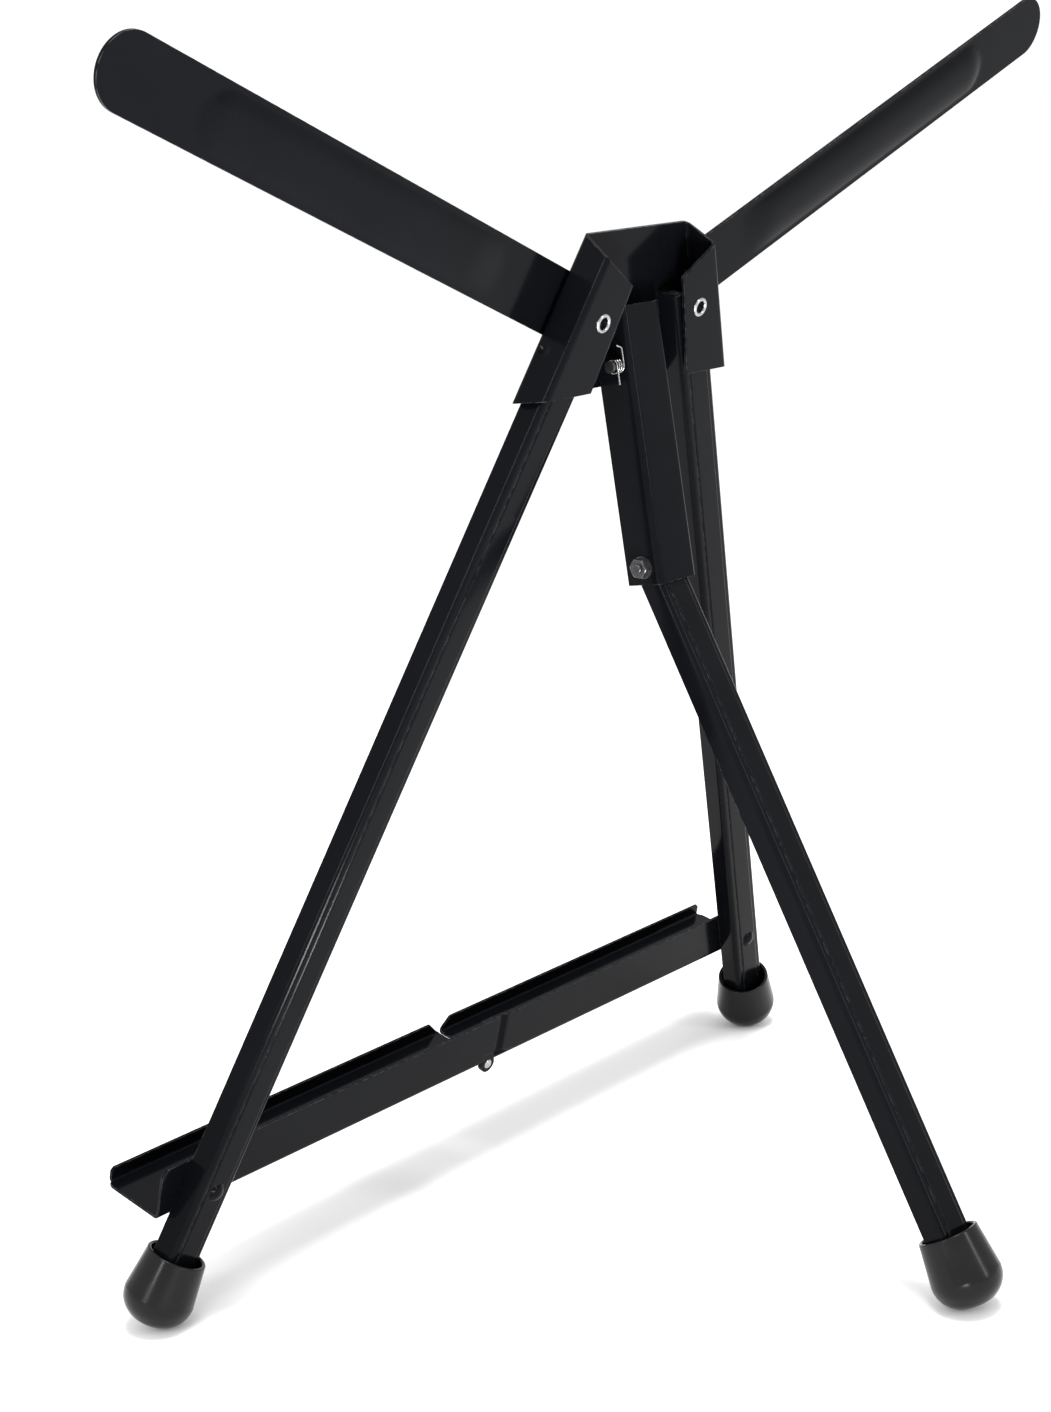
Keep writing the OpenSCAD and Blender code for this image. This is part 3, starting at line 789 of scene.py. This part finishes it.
def buildChannel():
    x, web = (channel["width"] - channel["sheet"]) / 2, channel["sheet"] / 2
    corners = [(-x, channel["depth"]), (-x, web), (x, web), (x, channel["depth"])]
    path = subdivided(roundedPath(corners, channel["bend"]), channel["across"])
    pairs = stripSides(path, channel["sheet"])
    fold = math.radians(channel["stopAngle"])

    # The top is cut so that the folded channel stops flat on the head plate
    def ends(point):
        ahead = point.y + channel["back"]
        top = min(channel["top"], (channel["stopReach"] - ahead * math.cos(fold)) / math.sin(fold))
        trim = max(0, channel["cornerCut"] - (channel["depth"] - point.y)) if point.x < 0 else 0
        return top, channel["tail"] + trim

    rows = []
    for station in range(channel["stations"] + 1):
        line = []
        for point, pair in zip(path, pairs):
            top, bottom = ends(point)
            y = top + (bottom - top) * station / channel["stations"]
            line.append(tuple(Vector((p.x, y, p.y + channel["back"])) for p in pair))
        rows.append(line)
    bm = bmesh.new()
    sheetMesh(bm, rows)
    made = meshObject("rear_channel", bm, strut)
    install(finish(made, channel["edge"]), "rear_strut", "rear_channel", "black_steel")


buildChannel()
print("rear channel done")

# Knee: a bolt through the channel with a washer each side and a nut on the left
kneeSet = {
    "side": 9.5, "washer": 0.6, "flats": 6.0, "nut": 2.4, "bolt": 1.5, "pitch": 0.5, "stub": 0.8,
    "headRadius": 3.0, "headHeight": 2.0, "nutChamfer": 0.35, "nutEdge": 0.08, "threadDepth": 0.22,
    "threadStart": 0.2, "endChamfer": 0.25,
}


def buildNut():
    low = kneeSet["side"] + kneeSet["washer"]
    high = low + kneeSet["nut"]
    corner = kneeSet["flats"] / 2 / math.cos(math.radians(30))
    bm = bmesh.new()
    latheMesh(bm, [(kneeSet["bolt"], low), (corner, low), (corner, high), (kneeSet["bolt"], high),
                   (kneeSet["bolt"], low)], "X", 6)
    bmesh.ops.remove_doubles(bm, verts=bm.verts, dist=1e-4)
    made = meshObject("knee_nut", bm, knee)
    # A turned blank that takes the six corners off both faces
    face, blank, chamfer = kneeSet["flats"] / 2 - 0.05, corner - 0.02, kneeSet["nutChamfer"]
    bm = bmesh.new()
    latheMesh(bm, [(0, low - 0.2), (face, low), (blank, low + chamfer),
                   (blank, high - chamfer), (face, high), (0, high + 0.1)], "X", 64)
    booleanWith(made, meshObject("cutter", bm, knee), "INTERSECT")
    install(finish(made, kneeSet["nutEdge"], 25), "rear_strut", "knee_nut", "dark_hardware")


def buildBolt():
    outside = kneeSet["side"] + kneeSet["washer"]
    end = outside + kneeSet["nut"] + kneeSet["stub"]
    radius, pitch = kneeSet["bolt"], kneeSet["pitch"]
    profile = [(x, -y) for x, y in domeProfile(kneeSet["headRadius"], kneeSet["headHeight"], 1, outside)]
    profile += [(radius, -outside), (radius, outside + 0.1)]
    first = outside + kneeSet["threadStart"]
    for i in range(int((end - first) / pitch)):
        at = first + i * pitch
        profile += [(radius - kneeSet["threadDepth"], at + pitch / 2), (radius - 0.01, at + pitch)]
    profile += [(radius - kneeSet["endChamfer"], end), (0, end)]
    bm = bmesh.new()
    latheMesh(bm, profile, "X", 40)
    made = finish(meshObject("knee_bolt", bm, knee), 0, 50)
    install(made, "rear_strut", "knee_bolt", "dark_hardware")


buildNut()
buildBolt()
print("knee done")

# Return spring: a hooked tail, close turns round the pin, and a plain tail down
spring = {
    "wire": 0.3, "radius": 2.2, "turns": 3, "pitch": 1.12, "start": 10.3, "steps": 24,
    "upTail": 6.5, "downTail": 6.0, "hook": 1.0,
}


def buildSpring():
    points = [(spring["start"] + spring["hook"], spring["upTail"], -spring["radius"] + spring["hook"]),
              (spring["start"], spring["upTail"] - spring["hook"], -spring["radius"])]
    for i in range(spring["turns"] * spring["steps"] + 1):
        share = i / spring["steps"]
        angle = -math.pi / 2 - 2 * math.pi * share
        points.append((spring["start"] + share * spring["pitch"],
                       spring["radius"] * math.cos(angle), spring["radius"] * math.sin(angle)))
    points.append((points[-1][0], -spring["downTail"], -spring["radius"]))
    curve = bpy.data.curves.new("return_spring", "CURVE")
    curve.dimensions = "3D"
    curve.bevel_depth = spring["wire"] * mm
    curve.bevel_resolution = 5
    curve.use_fill_caps = True
    line = curve.splines.new("POLY")
    line.points.add(len(points) - 1)
    for spot, point in zip(line.points, points):
        spot.co = (*(strut @ Vector(point)), 1)
    wound = bpy.data.objects.new("woundWire", curve)
    bpy.context.scene.collection.objects.link(wound)
    bpy.context.view_layer.update()
    mesh = bpy.data.meshes.new_from_object(wound.evaluated_get(bpy.context.evaluated_depsgraph_get()))
    bpy.data.objects.remove(wound)
    made = bpy.data.objects.new("return_spring", mesh)
    bpy.context.scene.collection.objects.link(made)
    install(finish(made, 0, 60), "head", "return_spring", "spring_steel")


buildSpring()
print("spring done")

# The simple turned and folded pieces keep their shape and get their finish
plainPieces = {
    "hinge_bracket": "black_steel", "hinge_pin": "dark_hardware", "knee_washers": "dark_hardware",
    "wing_washers": "bright_plate", "ledge_center_rivet": "bright_plate",
}
for node, slot in plainPieces.items():
    coat(frame["nodes"][node], slot)
print("plain pieces coated")

# Floor, lights and camera
studio = {
    "floorRadius": 14.0, "floor": (0.92, 0.92, 0.92), "sky": 1.1,
    "cameraOffset": (0.6461, 0.51878, 0.07952), "azimuth": 131.902, "elevation": 14.11, "roll": -3.171,
    "lens": 87.38, "sensor": 36.0, "aim": (0, 0, 0.2),
    "stripSize": (0.07, 0.5), "stripPower": 9.0, "stripPlace": (0.36, 0.36, 0.003),
}
softboxes = {
    "overhead": {"place": (0.1, 0.15, 1.6), "size": (0.5, 0.5), "power": 20},
    "backLeft": {"place": (1.9, 0.1, 1.0), "size": (0.16, 1.2), "power": 16},
    "backRight": {"place": (-0.4, 1.9, 0.9), "size": (0.16, 1.2), "power": 12},
}


def buildFloor():
    bm = bmesh.new()
    latheMesh(bm, [(0, 0), (studio["floorRadius"], 0)], segments=96)
    floor = meshObject("floor", bm, Matrix.Identity(4))
    material = bpy.data.materials.new("floorPaper")
    material.use_nodes = True
    shader = material.node_tree.nodes["Principled BSDF"]
    shader.inputs["Base Color"].default_value = (*studio["floor"], 1)
    shader.inputs["Roughness"].default_value = 0.9
    shader.inputs["Specular IOR Level"].default_value = 0.1
    floor.data.materials.append(material)


def areaLight(name, size, power, place, turn):
    lamp = bpy.data.lights.new(name, "AREA")
    lamp.shape = "RECTANGLE"
    lamp.size, lamp.size_y = size
    lamp.energy = power
    made = bpy.data.objects.new(name, lamp)
    bpy.context.scene.collection.objects.link(made)
    made.matrix_world = Matrix.Translation(place) @ turn.to_4x4()
    return made


def buildLights():
    for name, box in softboxes.items():
        towards = Vector(studio["aim"]) - Vector(box["place"])
        turn = towards.to_track_quat("-Z", "Y").to_matrix()
        areaLight(name, box["size"], box["power"], box["place"], turn)
    # A low strip that faces up from the floor, which the caps and folded corners mirror
    down = Vector((0, 0, -1))
    along = Vector((*studio["stripPlace"][:2], 0)).normalized()
    turn = Matrix((along.cross(down), along, down)).transposed()
    strip = areaLight("lowStrip", studio["stripSize"], studio["stripPower"], studio["stripPlace"], turn)
    strip.visible_camera = False


def buildCamera():
    lens = bpy.data.cameras.new("camera")
    lens.lens = studio["lens"]
    lens.sensor_fit = "HORIZONTAL"
    lens.sensor_width = studio["sensor"]
    lens.clip_start = 0.02
    camera = bpy.data.objects.new("camera", lens)
    bpy.context.scene.collection.objects.link(camera)
    a, e = math.radians(studio["azimuth"]), math.radians(studio["elevation"])
    ahead = Vector((-math.sin(a) * math.cos(e), math.cos(a) * math.cos(e), -math.sin(e)))
    right = ahead.cross(Vector((0, 0, 1))).normalized()
    up = right.cross(ahead)
    r = math.radians(studio["roll"])
    rolledRight = right * math.cos(r) + up * math.sin(r)
    rolledUp = up * math.cos(r) - right * math.sin(r)
    turn = Matrix((rolledRight, rolledUp, -ahead)).transposed().to_4x4()
    camera.matrix_world = Matrix.Translation(panel.translation + Vector(studio["cameraOffset"])) @ turn
    bpy.context.scene.camera = camera


def buildSky():
    world = bpy.data.worlds.new("studio")
    world.use_nodes = True
    sky = world.node_tree.nodes["Background"]
    sky.inputs["Color"].default_value = (1, 1, 1, 1)
    sky.inputs["Strength"].default_value = studio["sky"]
    bpy.context.scene.world = world


buildFloor()
buildLights()
buildSky()
buildCamera()
bpy.context.scene.view_settings.view_transform = "Standard"
print("studio done")
